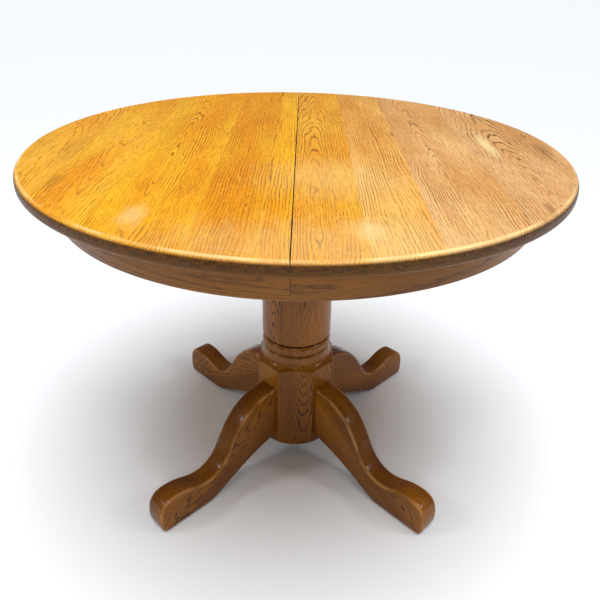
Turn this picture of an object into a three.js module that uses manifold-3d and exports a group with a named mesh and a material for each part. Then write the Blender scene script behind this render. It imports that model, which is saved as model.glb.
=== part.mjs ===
// A round pedestal dining table in oak: a top in two halves that draw apart on geared
// extension slides, a bent apron under each half, and a turned column on four scrolled legs.
// Millimetres, +Z up. The origin is on the floor under the middle of the table.
// X is the way the halves draw apart, and Y runs along the joint between them (front is -Y).
import * as THREE from "three";
import { mergeVertices } from "three/addons/utils/BufferGeometryUtils.js";
import Module from "manifold-3d";

const wasm = await Module();
wasm.setup();

// ---------------------------------------------------------------- driving dimensions
const TABLE_HEIGHT = 762;
const FIT_GAP = 0.3; // between two faces that touch
const RUN_GAP = 0.5; // between two faces that slide
const PANEL_SEGMENTS = 96; // facets round the top and the aprons

const TOP_DIAMETER = 1067;
const TOP_THICKNESS = 26;
const TOP_EDGE_ROUND = 11; // radius along the upper edge
const TOP_UNDER_ROUND = 8; // radius along the lower edge
const SEAM_GAP = 0.8; // between the two halves when they are shut
const SEAM_OFFSET = -7; // of the joint from the middle of the table, along X

const APRON_SETBACK = 59; // from the top's edge to the apron's face
const APRON_HEIGHT = 65;
const APRON_THICKNESS = 19;
const APRON_CHAMFER = 2;
const CORNER_BLOCK = { along: 40, deep: 30, high: 50 };

const PIN_RADIUS = 4.8; // alignment pins across the joint
const PIN_LENGTH = 44;
const PIN_STAND_OUT = 14;
const PIN_SPACING = 380;

// Extension slides: one run in front of the column and one behind it.
const RUN_OFFSET = 170; // from the middle of the table to the middle of a run
const RAIL_HEIGHT = 39;
const CENTRE_RAIL_LENGTH = 600;
const CENTRE_RAIL_WIDTH = 38;
const SIDE_RAIL_WIDTH = 28;
const SIDE_RAIL_OUTER_END = 385; // the far end of a side rail, under its own half
const SLIDE_TRAVEL = 250; // each half
const RAIL_OVERLAP = 35; // side rail left past the pinion when the table is wide open
const TONGUE_HEIGHT = 8;
const TONGUE_DEPTH = 6;
const TONGUE_DROP = 8; // from the rail's top to the tongue

const GEAR_MODULE = 3;
const PINION_TEETH = 12;
const GEAR_HEIGHT = 8;
const GEAR_LIFT = 9; // from the rail's foot to the rack
const PRESSURE_ANGLE = THREE.MathUtils.degToRad(25);
const ADDENDUM = 0.8 * GEAR_MODULE;
const ROOT_CLEARANCE = 0.6;
const BACKLASH = 0.5; // taken off the thickness of each tooth
const RACK_BACK = 5; // rack behind its teeth
const PINION_PIN_RADIUS = 4;

const YOKE = { wide: 150, thick: 25, overhang: 22 };

// Column, as heights from the floor and radii.
const COLUMN_FOOT_Z = 45;
const COLUMN_RADIUS = 79;
const COLUMN_FOOT_ROUND = 22;
const SHOULDER_Z = 254; // where the turned shoulder meets the corners of the flats
const SHOULDER_HEIGHT = 34;
const BEAD_HEIGHT = 23;
const GROOVE_DEPTH = 4.5;
const GROOVE_HEIGHT = 5;
const OPEN_FLAT = 80; // width of a flat that faces between two legs
const LEG_FLAT = 65; // width of a flat that carries a leg
const COLUMN_BORE = 40; // across half the eight-sided hollow
const COLUMN_SEGMENTS = 64;

const LEG_THICKNESS = 50;
const LEG_EDGE_ROUND = 7; // along the upper edges
const LEG_UNDER_ROUND = 2; // along the lower edges
const LEG_TOP_Z = 206; // where the leg's upper edge meets the column
const LEG_UNDER_Z = 74; // where its lower edge meets the column
const LEG_REACH = 410; // from the table's axis to the toe
const LEG_SOLE_Z = 4;
const TOE_TOP_Z = 81;

const GLIDE_RADIUS = 19;
const GLIDE_REACH = 372;

const BOLT_RADIUS = 4;
const BOLT_HOLE_GAP = 0.5;
const BOLT_HEAD = { across: 13, high: 5.5, collar: 10, collarHigh: 1.6 };
const LEG_BOLT_Z = [102, 176];
const LEG_BOLT_LENGTH = 105;
const YOKE_BOLT_AT = 42; // the bolts into the column's wall, in X and Y
const YOKE_BOLT_LENGTH = 85;
const RAIL_BOLT_X = 52;
const RAIL_BOLT_LENGTH = 52;

const LOCK_OFFSET = 300; // from the middle of the table to a lock, along the joint
const LOCK_PIVOT_X = 30; // from the joint to the lever's pivot
const LOCK_POST_X = 26; // from the joint to the keeper's post
const LOCK_PLATE = { long: 46, wide: 30, thick: 3 };
const LEVER = { thick: 4, wide: 20, grip: 26, drop: 5 };
const LEVER_PIVOT_RADIUS = 5;
const KEEPER_POST_RADIUS = 4;

// ---------------------------------------------------------------- derived sizes
const TOP_RADIUS = TOP_DIAMETER / 2;
const TOP_UNDERSIDE = TABLE_HEIGHT - TOP_THICKNESS;
const APRON_RADIUS = TOP_RADIUS - APRON_SETBACK;
const APRON_INNER = APRON_RADIUS - APRON_THICKNESS;
const APRON_FOOT_Z = TOP_UNDERSIDE - APRON_HEIGHT;
const RAIL_TOP_Z = TOP_UNDERSIDE - RUN_GAP;
const RAIL_FOOT_Z = RAIL_TOP_Z - RAIL_HEIGHT;
const SIDE_RAIL_FACE = CENTRE_RAIL_WIDTH / 2 + RUN_GAP; // from the run's middle
const SIDE_RAIL_INNER_END = SLIDE_TRAVEL + RAIL_OVERLAP;
const GEAR_FOOT_Z = RAIL_FOOT_Z + GEAR_LIFT;
const PITCH = Math.PI * GEAR_MODULE;
const PITCH_RADIUS = (GEAR_MODULE * PINION_TEETH) / 2;
const YOKE_TOP_Z = RAIL_FOOT_Z - FIT_GAP;
const YOKE_FOOT_Z = YOKE_TOP_Z - YOKE.thick;
const COLUMN_TOP_Z = YOKE_FOOT_Z - FIT_GAP;
const OPEN_APOTHEM = OPEN_FLAT / 2 + LEG_FLAT / Math.SQRT2;
const LEG_APOTHEM = LEG_FLAT / 2 + OPEN_FLAT / Math.SQRT2;
const CORNER_RADIUS = Math.hypot(OPEN_APOTHEM, OPEN_FLAT / 2);

// ---------------------------------------------------------------- materials
const matt = (colour, roughness, metalness = 0) =>
  new THREE.MeshStandardMaterial({ color: colour, roughness, metalness });
const OAK_TOP = matt(0xe39a35, 0.35);
const OAK_BASE = matt(0x8a531f, 0.4);
const PLAIN_WOOD = matt(0xb98d5a, 0.7);
const STEEL = matt(0x9a9a98, 0.35, 0.9);
const NYLON = matt(0xd9d4c4, 0.5);
const FELT = matt(0x2c241e, 0.95);

// ---------------------------------------------------------------- solids
// A three.js geometry as a manifold-3d solid, and back.
function solid(geometry) {
  const bare = geometry.clone();
  bare.deleteAttribute("normal");
  bare.deleteAttribute("uv");
  const merged = mergeVertices(bare, 1e-4);
  return new wasm.Manifold(
    new wasm.Mesh({
      numProp: 3,
      vertProperties: merged.attributes.position.array,
      triVerts: new Uint32Array(merged.index.array),
    }),
  );
}

function geometryOf(manifold) {
  const mesh = manifold.getMesh();
  const stride = mesh.numProp;
  const positions = new Float32Array(mesh.numVert * 3);
  for (let i = 0; i < mesh.numVert; i++) {
    positions.set(mesh.vertProperties.subarray(i * stride, i * stride + 3), i * 3);
  }
  return new THREE.BufferGeometry()
    .setAttribute("position", new THREE.BufferAttribute(positions, 3))
    .setIndex(new THREE.BufferAttribute(new Uint32Array(mesh.triVerts), 1));
}

const cut = (from, ...tools) => tools.reduce((made, tool) => made.subtract(tool), from);
const join = (first, ...others) => others.reduce((made, other) => made.add(other), first);

// A box between two corners.
function block([x0, y0, z0], [x1, y1, z1]) {
  const box = new THREE.BoxGeometry(x1 - x0, y1 - y0, z1 - z0);
  return solid(box.translate((x0 + x1) / 2, (y0 + y1) / 2, (z0 + z1) / 2));
}

// A cylinder from z0 to z1 about a vertical axis at x, y.
function post(radius, z0, z1, x = 0, y = 0, segments = 24) {
  const made = new THREE.CylinderGeometry(radius, radius, z1 - z0, segments);
  return solid(made.rotateX(Math.PI / 2).translate(x, y, (z0 + z1) / 2));
}

// A profile of [radius, height] points turned about the Z axis. The lathe turns about Y.
function turned(profile, segments) {
  const points = profile.map(([r, z]) => new THREE.Vector2(r, z));
  return solid(new THREE.LatheGeometry(points, segments).rotateX(Math.PI / 2));
}

// An outline in X and Y raised from z0 to z1.
function raised(shape, z0, z1, curveSegments = 12) {
  const options = { depth: z1 - z0, bevelEnabled: false, curveSegments };
  return solid(new THREE.ExtrudeGeometry(shape, options).translate(0, 0, z0));
}

function polygon(points) {
  return new THREE.Shape(points.map(([x, y]) => new THREE.Vector2(x, y)));
}

// Points on a quarter round about [r, z], from one angle to another, in degrees.
function quarter(r, z, radius, from, to, steps = 5) {
  const points = [];
  for (let i = 0; i <= steps; i++) {
    const angle = THREE.MathUtils.degToRad(from + ((to - from) * i) / steps);
    points.push([r + radius * Math.cos(angle), z + radius * Math.sin(angle)]);
  }
  return points;
}

const table = new THREE.Group();

function piece(name, made, material, group = table) {
  const mesh = new THREE.Mesh(geometryOf(made), material);
  mesh.name = name;
  group.add(mesh);
  return mesh;
}

const SIDES = [
  ["left", -1],
  ["right", 1],
];
const ENDS = [
  ["front", -1],
  ["rear", 1],
];

// The space on one side of the joint between the halves.
function halfSpace(side, gap) {
  const far = TOP_RADIUS + 10;
  const [x0, x1] = side < 0 ? [-far, SEAM_OFFSET - gap] : [SEAM_OFFSET + gap, far];
  return block([x0, -far, 0], [x1, far, TABLE_HEIGHT + 10]);
}

// ---------------------------------------------------------------- top
function fullTop() {
  const upper = quarter(
    TOP_RADIUS - TOP_EDGE_ROUND, TABLE_HEIGHT - TOP_EDGE_ROUND, TOP_EDGE_ROUND, 0, 90,
  );
  const lower = quarter(
    TOP_RADIUS - TOP_UNDER_ROUND, TOP_UNDERSIDE + TOP_UNDER_ROUND, TOP_UNDER_ROUND, -90, 0,
  );
  const profile = [[0, TOP_UNDERSIDE], ...lower, ...upper, [0, TABLE_HEIGHT]];
  return turned(profile, PANEL_SEGMENTS);
}

const PIN_Z = TABLE_HEIGHT - TOP_THICKNESS / 2;
const PIN_PLACES = [-1, 0, 1].map((k) => k * PIN_SPACING);

// A cylinder along X, from x0 to x1 at the pins' height.
function pinAlongX(radius, x0, x1, y) {
  const made = new THREE.CylinderGeometry(radius, radius, x1 - x0, 16);
  return solid(made.rotateZ(Math.PI / 2).translate((x0 + x1) / 2, y, PIN_Z));
}

const PIN_X0 = SEAM_OFFSET + SEAM_GAP / 2 - PIN_STAND_OUT;
const PIN_X1 = PIN_X0 + PIN_LENGTH;
const whole_top = fullTop();
for (const [name, side] of SIDES) {
  const holes = PIN_PLACES.map((y) =>
    pinAlongX(PIN_RADIUS + FIT_GAP, PIN_X0 - 1, PIN_X1 + 1, y),
  );
  const half = whole_top.intersect(halfSpace(side, SEAM_GAP / 2));
  piece(`${name}_top_half`, cut(half, ...holes), OAK_TOP);
}
PIN_PLACES.forEach((y, i) => {
  const place = ["front", "middle", "rear"][i];
  piece(`${place}_alignment_pin`, pinAlongX(PIN_RADIUS, PIN_X0, PIN_X1, y), PLAIN_WOOD);
});

// ---------------------------------------------------------------- aprons
const APRON_TOP_Z = TOP_UNDERSIDE - FIT_GAP;
const apron_ring = turned(
  [
    [APRON_INNER, APRON_FOOT_Z],
    [APRON_RADIUS - APRON_CHAMFER, APRON_FOOT_Z],
    [APRON_RADIUS, APRON_FOOT_Z + APRON_CHAMFER],
    [APRON_RADIUS, APRON_TOP_Z],
    [APRON_INNER, APRON_TOP_Z],
    [APRON_INNER, APRON_FOOT_Z],
  ],
  PANEL_SEGMENTS,
);
for (const [name, side] of SIDES) {
  piece(`${name}_apron`, apron_ring.intersect(halfSpace(side, SEAM_GAP / 2)), OAK_BASE);
  for (const [end, front] of ENDS) {
    const nearX = SEAM_OFFSET + side * SEAM_GAP;
    const farX = nearX + side * CORNER_BLOCK.along;
    const outerY = Math.sqrt(APRON_INNER ** 2 - farX ** 2) - 1;
    const x = [nearX, farX].sort((a, b) => a - b);
    const y = [front * (outerY - CORNER_BLOCK.deep), front * outerY].sort((a, b) => a - b);
    const foot = APRON_TOP_Z - CORNER_BLOCK.high;
    const made = block([x[0], y[0], foot], [x[1], y[1], APRON_TOP_Z]);
    piece(`${name}_${end}_corner_block`, made, PLAIN_WOOD);
  }
}

// ---------------------------------------------------------------- extension slides
const RACK_TIP = PITCH_RADIUS - ADDENDUM; // from the run's middle
const RACK_ROOT = PITCH_RADIUS + ADDENDUM + ROOT_CLEARANCE;
const RACK_FAR = RACK_ROOT + RACK_BACK;
const TONGUE_TOP_Z = RAIL_TOP_Z - TONGUE_DROP;
const TONGUE_FOOT_Z = TONGUE_TOP_Z - TONGUE_HEIGHT;
const PINION_OUTER = PITCH_RADIUS + ADDENDUM;
const RACK_TEETH = Math.ceil((SLIDE_TRAVEL + 2 * PINION_OUTER) / PITCH);

// Half the thickness of a rack tooth at a distance beyond the pitch line.
const rackHalf = (beyond) => PITCH / 4 - BACKLASH / 2 - beyond * Math.tan(PRESSURE_ANGLE);

// A rack along X from its first tooth at -PITCH / 2. Its teeth point to -Y, and y is measured
// from the run's middle.
function rackOutline() {
  const points = [];
  const first = -PITCH;
  for (let i = 0; i < RACK_TEETH; i++) {
    const middle = (i - 0.5) * PITCH;
    const root = rackHalf(-ADDENDUM - ROOT_CLEARANCE);
    const tip = rackHalf(ADDENDUM);
    points.push([middle - root, RACK_ROOT], [middle - tip, RACK_TIP]);
    points.push([middle + tip, RACK_TIP], [middle + root, RACK_ROOT]);
  }
  const last = first + RACK_TEETH * PITCH;
  points.push([last, RACK_ROOT], [last, RACK_FAR], [first, RACK_FAR], [first, RACK_ROOT]);
  return polygon(points);
}

// Involute teeth with straight roots. One tooth points to -Y.
function pinionOutline() {
  const base = PITCH_RADIUS * Math.cos(PRESSURE_ANGLE);
  const root = PITCH_RADIUS - ADDENDUM - ROOT_CLEARANCE;
  const involute = (r) => {
    const t = Math.sqrt(Math.max(0, (r / base) ** 2 - 1));
    return t - Math.atan(t);
  };
  const halfAtPitch = (PITCH / 2 - BACKLASH) / 2 / PITCH_RADIUS;
  const halfAngle = (r) => halfAtPitch + involute(PITCH_RADIUS) - involute(Math.max(r, base));
  const flank = [root, base, (base + PITCH_RADIUS) / 2, PITCH_RADIUS, PINION_OUTER];
  const points = [];
  for (let i = 0; i < PINION_TEETH; i++) {
    const middle = -Math.PI / 2 + (i * 2 * Math.PI) / PINION_TEETH;
    const at = (r, angle) => [r * Math.cos(angle), r * Math.sin(angle)];
    flank.forEach((r) => points.push(at(r, middle - halfAngle(r))));
    flank.toReversed().forEach((r) => points.push(at(r, middle + halfAngle(r))));
  }
  return polygon(points);
}

// A side rail and its rack, made on the +Y side of its run with its long end towards -X.
function sideRail() {
  const rail = block(
    [-SIDE_RAIL_OUTER_END, SIDE_RAIL_FACE, RAIL_FOOT_Z],
    [SIDE_RAIL_INNER_END, SIDE_RAIL_FACE + SIDE_RAIL_WIDTH, RAIL_TOP_Z],
  );
  const tongue = block(
    [-SIDE_RAIL_OUTER_END, SIDE_RAIL_FACE - TONGUE_DEPTH, TONGUE_FOOT_Z],
    [SIDE_RAIL_INNER_END, SIDE_RAIL_FACE + 1, TONGUE_TOP_Z],
  );
  const rackGroove = block(
    [-SIDE_RAIL_OUTER_END - 1, SIDE_RAIL_FACE - 1, GEAR_FOOT_Z - FIT_GAP],
    [SIDE_RAIL_INNER_END + 1, RACK_FAR + FIT_GAP, GEAR_FOOT_Z + GEAR_HEIGHT + FIT_GAP],
  );
  return cut(join(rail, tongue), rackGroove);
}

function centreRail() {
  const half = CENTRE_RAIL_WIDTH / 2;
  const end = CENTRE_RAIL_LENGTH / 2;
  const made = block([-end, -half, RAIL_FOOT_Z], [end, half, RAIL_TOP_Z - RUN_GAP]);
  const tools = [];
  for (const side of [-1, 1]) {
    const groove = (depth, z0, z1) => {
      const y = [side * (half + 1), side * depth].sort((a, b) => a - b);
      return block([-end - 1, y[0], z0], [end + 1, y[1], z1]);
    };
    const tongueReach = SIDE_RAIL_FACE - TONGUE_DEPTH - RUN_GAP;
    tools.push(groove(tongueReach, TONGUE_FOOT_Z - RUN_GAP, TONGUE_TOP_Z + RUN_GAP));
    const rackTop = GEAR_FOOT_Z + GEAR_HEIGHT + RUN_GAP;
    tools.push(groove(RACK_TIP - RUN_GAP, GEAR_FOOT_Z - RUN_GAP, rackTop));
    tools.push(
      post(BOLT_RADIUS + BOLT_HOLE_GAP, RAIL_FOOT_Z - 1, RAIL_BOLT_TIP_Z + 2, side * RAIL_BOLT_X, 0, 16),
    );
  }
  const pocket = PINION_OUTER + 1;
  tools.push(
    block(
      [-pocket, -half - 1, GEAR_FOOT_Z - RUN_GAP],
      [pocket, half + 1, GEAR_FOOT_Z + GEAR_HEIGHT + RUN_GAP],
    ),
    post(PINION_PIN_RADIUS + FIT_GAP, RAIL_FOOT_Z - 1, PINION_PIN_TOP_Z + FIT_GAP, 0, 0),
  );
  return cut(made, ...tools);
}

const PINION_PIN_TOP_Z = GEAR_FOOT_Z + GEAR_HEIGHT + 12;
const RAIL_BOLT_SEAT_Z = YOKE_FOOT_Z - FIT_GAP;
const RAIL_BOLT_TIP_Z = RAIL_BOLT_SEAT_Z + RAIL_BOLT_LENGTH;
const GEAR_PLAY = 0.4; // above and below the pinion

// Solids that are placed more than once keep their own geometry, and each mesh is moved.
for (const [end, front] of ENDS) {
  const run = new THREE.Group();
  run.position.y = front * RUN_OFFSET;
  table.add(run);
  piece(`${end}_centre_rail`, centreRail(), PLAIN_WOOD, run);
  piece(
    `${end}_pinion_pin`,
    post(PINION_PIN_RADIUS, RAIL_FOOT_Z, PINION_PIN_TOP_Z),
    STEEL, run,
  );
  const pinion = cut(
    raised(pinionOutline(), GEAR_FOOT_Z + GEAR_PLAY, GEAR_FOOT_Z + GEAR_HEIGHT - GEAR_PLAY),
    post(PINION_PIN_RADIUS + FIT_GAP, 0, TABLE_HEIGHT),
  );
  piece(`${end}_pinion`, pinion, NYLON, run);

  for (const [name, side] of SIDES) {
    // The left half's rails lie outside the centre rail, and the right half's inside it.
    const outwards = -side * front;
    const rail = new THREE.Group();
    rail.scale.set(-side, outwards, 1);
    run.add(rail);
    piece(`${name}_${end}_slide_rail`, sideRail(), PLAIN_WOOD, rail);
    const rack = raised(rackOutline(), GEAR_FOOT_Z, GEAR_FOOT_Z + GEAR_HEIGHT);
    piece(`${name}_${end}_rack`, rack, NYLON, rail);
  }
}

// ---------------------------------------------------------------- bolts
// A hexagon-headed bolt: its shank points to +Z from 0, and its head and collar lie below.
function hexBolt(length) {
  const corner = BOLT_HEAD.across / Math.sqrt(3);
  const collarFoot = -BOLT_HEAD.collarHigh;
  return join(
    post(BOLT_RADIUS, collarFoot / 2, length, 0, 0, 16),
    post(BOLT_HEAD.collar, collarFoot, 0, 0, 0, 24),
    post(corner, collarFoot - BOLT_HEAD.high, collarFoot / 2, 0, 0, 6),
  );
}

// ---------------------------------------------------------------- yoke
const YOKE_HALF_LENGTH = RUN_OFFSET + YOKE.overhang;
const yokeBoltPlaces = [];
const railBoltPlaces = [];
for (const [name, side] of SIDES) {
  for (const [end, front] of ENDS) {
    yokeBoltPlaces.push([`${name}_${end}`, side * YOKE_BOLT_AT, front * YOKE_BOLT_AT]);
    railBoltPlaces.push([`${name}_${end}`, side * RAIL_BOLT_X, front * RUN_OFFSET]);
  }
}
const boltHoles = (places, z0, z1) =>
  places.map(([, x, y]) => post(BOLT_RADIUS + BOLT_HOLE_GAP, z0, z1, x, y, 16));
const yokePlate = block(
  [-YOKE.wide / 2, -YOKE_HALF_LENGTH, YOKE_FOOT_Z],
  [YOKE.wide / 2, YOKE_HALF_LENGTH, YOKE_TOP_Z],
);
piece(
  "pedestal_yoke",
  cut(yokePlate, ...boltHoles([...yokeBoltPlaces, ...railBoltPlaces], YOKE_FOOT_Z - 1, YOKE_TOP_Z + 1)),
  PLAIN_WOOD,
);
for (const [place, x, y] of yokeBoltPlaces) {
  const bolt = piece(`${place}_column_bolt`, hexBolt(YOKE_BOLT_LENGTH), STEEL);
  bolt.position.set(x, y, YOKE_TOP_Z + FIT_GAP);
  bolt.rotation.x = Math.PI;
}
for (const [place, x, y] of railBoltPlaces) {
  const bolt = piece(`${place}_rail_bolt`, hexBolt(RAIL_BOLT_LENGTH), STEEL);
  bolt.position.set(x, y, RAIL_BOLT_SEAT_Z);
}

// ---------------------------------------------------------------- column
// The turned blank, before its eight flats are planed, from the foot up.
function columnBlank() {
  const blank = CORNER_RADIUS + 1;
  const footFlat = blank - COLUMN_FOOT_ROUND;
  const beadFoot = SHOULDER_Z + SHOULDER_HEIGHT;
  const beadTop = beadFoot + GROOVE_HEIGHT + BEAD_HEIGHT;
  const neck = COLUMN_RADIUS - GROOVE_DEPTH;
  const middle = (beadFoot + GROOVE_HEIGHT + beadTop) / 2;
  const beadEdge = BEAD_HEIGHT / 2;
  return [
    [0, COLUMN_FOOT_Z],
    ...quarter(footFlat, COLUMN_FOOT_Z + COLUMN_FOOT_ROUND, COLUMN_FOOT_ROUND, -90, 0, 7),
    [blank, SHOULDER_Z - 2],
    [blank - 2, SHOULDER_Z + 2],
    [blank - 8, SHOULDER_Z + 5.5],
    [blank - 12, SHOULDER_Z + 9],
    [COLUMN_RADIUS + 1, SHOULDER_Z + 15],
    [neck + 2.5, SHOULDER_Z + 23],
    [neck + 1, beadFoot],
    [neck, beadFoot + 1],
    [neck, beadFoot + GROOVE_HEIGHT - 1.5],
    [COLUMN_RADIUS - 2, beadFoot + GROOVE_HEIGHT],
    [COLUMN_RADIUS - 0.5, middle - beadEdge * 0.55],
    [COLUMN_RADIUS - 0.5, middle + beadEdge * 0.35],
    [COLUMN_RADIUS - 2.5, middle + beadEdge * 0.5],
    [COLUMN_RADIUS - 2.5, beadTop - 2],
    [neck, beadTop],
    [neck, beadTop + GROOVE_HEIGHT - 2],
    [COLUMN_RADIUS - 1, beadTop + GROOVE_HEIGHT],
    [COLUMN_RADIUS, beadTop + GROOVE_HEIGHT + 2],
    [COLUMN_RADIUS, COLUMN_TOP_Z],
    [0, COLUMN_TOP_Z],
  ];
}

// The eight flats, wide ones facing along X and Y, and narrow ones towards the legs.
function flatsOutline() {
  const a = OPEN_APOTHEM;
  const b = OPEN_FLAT / 2;
  return polygon([[a, -b], [a, b], [b, a], [-b, a], [-a, b], [-a, -b], [-b, -a], [b, -a]]);
}

function hollowOutline() {
  const corner = COLUMN_BORE / Math.cos(Math.PI / 8);
  const points = [];
  for (let i = 0; i < 8; i++) {
    const angle = ((i + 0.5) * Math.PI) / 4;
    points.push([corner * Math.cos(angle), corner * Math.sin(angle)]);
  }
  return polygon(points);
}

const LEGS = [
  ["front_right", -45],
  ["rear_right", 45],
  ["rear_left", 135],
  ["front_left", 225],
];

// A bolt hole along a leg, from the column's hollow outwards.
function legBoltHole(z, degrees) {
  const reach = COLUMN_BORE + LEG_BOLT_LENGTH + 2;
  const hole = new THREE.CylinderGeometry(
    BOLT_RADIUS + BOLT_HOLE_GAP, BOLT_RADIUS + BOLT_HOLE_GAP, reach, 16,
  );
  hole.rotateZ(Math.PI / 2).translate(reach / 2, 0, z);
  return solid(hole.rotateZ(THREE.MathUtils.degToRad(degrees)));
}

const column = cut(
  turned(columnBlank(), COLUMN_SEGMENTS).intersect(raised(flatsOutline(), 0, TABLE_HEIGHT)),
  raised(hollowOutline(), 0, TABLE_HEIGHT),
  ...boltHoles(yokeBoltPlaces, COLUMN_TOP_Z + YOKE.thick - YOKE_BOLT_LENGTH - 2, TABLE_HEIGHT),
  ...LEGS.flatMap(([, degrees]) => LEG_BOLT_Z.map((z) => legBoltHole(z, degrees))),
);
piece("pedestal_column", column, OAK_BASE);

// ---------------------------------------------------------------- legs
// The leg's side outline, as distance from the table's axis and height. The lower edge and the
// sole can be dropped, so that rounding the outline leaves the real lower edge alone.
function legOutline(drop) {
  const root = LEG_APOTHEM - 12;
  const heel = LEG_REACH - 120; // where the sole starts
  const sole = LEG_SOLE_Z - drop;
  const under = LEG_UNDER_Z - drop;
  const nose = LEG_SOLE_Z + 34;
  const toe = 12 + drop; // how far back the toe's round reaches along the sole
  const shape = new THREE.Shape();
  shape.moveTo(root, under + 4);
  shape.bezierCurveTo(root + 70, under - 6, root + 116, sole + 40, heel - 43, sole + 14);
  shape.bezierCurveTo(heel - 20, sole + 3, heel - 12, sole, heel, sole);
  shape.lineTo(LEG_REACH - toe, sole);
  shape.bezierCurveTo(LEG_REACH - 0.4 * toe, sole, LEG_REACH, LEG_SOLE_Z + 12, LEG_REACH, nose);
  shape.bezierCurveTo(LEG_REACH, TOE_TOP_Z - 12, LEG_REACH - 15, TOE_TOP_Z, LEG_REACH - 40, TOE_TOP_Z);
  shape.bezierCurveTo(LEG_REACH - 78, TOE_TOP_Z, LEG_REACH - 90, 64, LEG_REACH - 122, 64);
  shape.bezierCurveTo(LEG_REACH - 169, 66, LEG_REACH - 180, 107, LEG_REACH - 196, 131);
  shape.bezierCurveTo(LEG_REACH - 223, 182, LEG_REACH - 262, LEG_TOP_Z, root, LEG_TOP_Z + 1);
  shape.closePath();
  return shape;
}

// The leg's outline sawn from a plank, with its edges rounded.
function sawn(outline, round) {
  const options = {
    depth: LEG_THICKNESS - 2 * round,
    bevelEnabled: true,
    bevelThickness: round,
    bevelSize: round,
    bevelOffset: -round,
    bevelSegments: 3,
    curveSegments: 9,
  };
  const made = new THREE.ExtrudeGeometry(outline, options);
  return solid(made.rotateX(Math.PI / 2).translate(0, LEG_THICKNESS / 2 - round, 0));
}

// A leg along +X, standing upright, with its root cut square.
function leg() {
  const upper = sawn(legOutline(4 * LEG_EDGE_ROUND), LEG_EDGE_ROUND);
  const whole = sawn(legOutline(0), LEG_UNDER_ROUND);
  const root = block(
    [0, -LEG_THICKNESS, -LEG_THICKNESS],
    [LEG_APOTHEM + FIT_GAP, LEG_THICKNESS, LEG_TOP_Z + 60],
  );
  return cut(whole.intersect(upper), root, ...LEG_BOLT_Z.map((z) => legBoltHole(z, 0)));
}

for (const [name, degrees] of LEGS) {
  const stance = new THREE.Group();
  stance.rotation.z = THREE.MathUtils.degToRad(degrees);
  table.add(stance);
  piece(`${name}_leg`, leg(), OAK_BASE, stance);
  const glide = post(GLIDE_RADIUS, 0, LEG_SOLE_Z - FIT_GAP, GLIDE_REACH, 0);
  piece(`${name}_glide`, glide, FELT, stance);
  LEG_BOLT_Z.forEach((z, i) => {
    const boltName = `${name}_leg_bolt_${["lower", "upper"][i]}`;
    const bolt = piece(boltName, hexBolt(LEG_BOLT_LENGTH), STEEL, stance);
    bolt.rotation.y = Math.PI / 2;
    bolt.position.set(COLUMN_BORE - FIT_GAP, 0, z);
  });
}

// ---------------------------------------------------------------- locks
const LOCK_PLATE_TOP_Z = TOP_UNDERSIDE - FIT_GAP;
const LOCK_PLATE_FOOT_Z = LOCK_PLATE_TOP_Z - LOCK_PLATE.thick;
const LEVER_TOP_Z = LOCK_PLATE_FOOT_Z - LEVER.drop;
const LEVER_FOOT_Z = LEVER_TOP_Z - LEVER.thick;

function lockPlate(x0) {
  const half = LOCK_PLATE.wide / 2;
  return block([x0, -half, LOCK_PLATE_FOOT_Z], [x0 + LOCK_PLATE.long, half, LOCK_PLATE_TOP_Z]);
}

// The plate under the left half, with the lever's pivot and the head that keeps the lever on.
function lockBase() {
  const x = -LOCK_PIVOT_X;
  return join(
    lockPlate(x - LOCK_PLATE.long / 2),
    post(LEVER_PIVOT_RADIUS, LEVER_FOOT_Z - 2, LOCK_PLATE_TOP_Z - 1, x),
    post(LEVER_PIVOT_RADIUS + 4, LEVER_TOP_Z + RUN_GAP, LOCK_PLATE_TOP_Z - 1, x),
    post(LEVER_PIVOT_RADIUS + 3, LEVER_FOOT_Z - 3.5, LEVER_FOOT_Z - RUN_GAP, x),
  );
}

// The plate under the right half, with the post that the lever hooks.
function lockKeeper() {
  return join(
    lockPlate(LOCK_POST_X - LOCK_PLATE.long / 2),
    post(KEEPER_POST_RADIUS, LEVER_FOOT_Z - 3, LOCK_PLATE_TOP_Z - 1, LOCK_POST_X),
  );
}

// The lever about its own pivot, with its arm along +Y and its hook open towards +X.
function lockLever() {
  const reach = LOCK_PIVOT_X + LOCK_POST_X;
  const half = LEVER.wide / 2;
  const throat = KEEPER_POST_RADIUS + 1.5;
  const tip = reach + throat + 7;
  const shape = new THREE.Shape();
  shape.moveTo(-half, 0);
  shape.absarc(0, -LEVER.grip, half, Math.PI, 2 * Math.PI, false);
  shape.lineTo(half, reach - throat);
  shape.lineTo(0, reach - throat);
  shape.absarc(0, reach, throat, -Math.PI / 2, Math.PI / 2, true);
  shape.lineTo(half, reach + throat);
  shape.lineTo(half, tip - 2);
  shape.lineTo(half - 5, tip);
  shape.lineTo(-half + 7, tip);
  shape.lineTo(-half, tip - 9);
  shape.closePath();
  const arm = raised(shape, LEVER_FOOT_Z, LEVER_TOP_Z);
  return cut(arm, post(LEVER_PIVOT_RADIUS + RUN_GAP, 0, TABLE_HEIGHT));
}

for (const [end, front] of ENDS) {
  const lock = new THREE.Group();
  lock.position.set(SEAM_OFFSET, front * LOCK_OFFSET, 0);
  table.add(lock);
  piece(`${end}_lock_base`, lockBase(), STEEL, lock);
  piece(`${end}_lock_keeper`, lockKeeper(), STEEL, lock);
  const lever = piece(`${end}_lock_lever`, lockLever(), STEEL, lock);
  lever.position.x = -LOCK_PIVOT_X;
  lever.scale.y = -front; // both arms point to the middle of the table while unlocked
}

export default table;
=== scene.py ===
"""A round oak pedestal table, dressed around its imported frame. Metres, +Z up, front towards -Y."""

import math

import bmesh
import bpy
import numpy as np
from mathutils import Matrix, Vector


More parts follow.
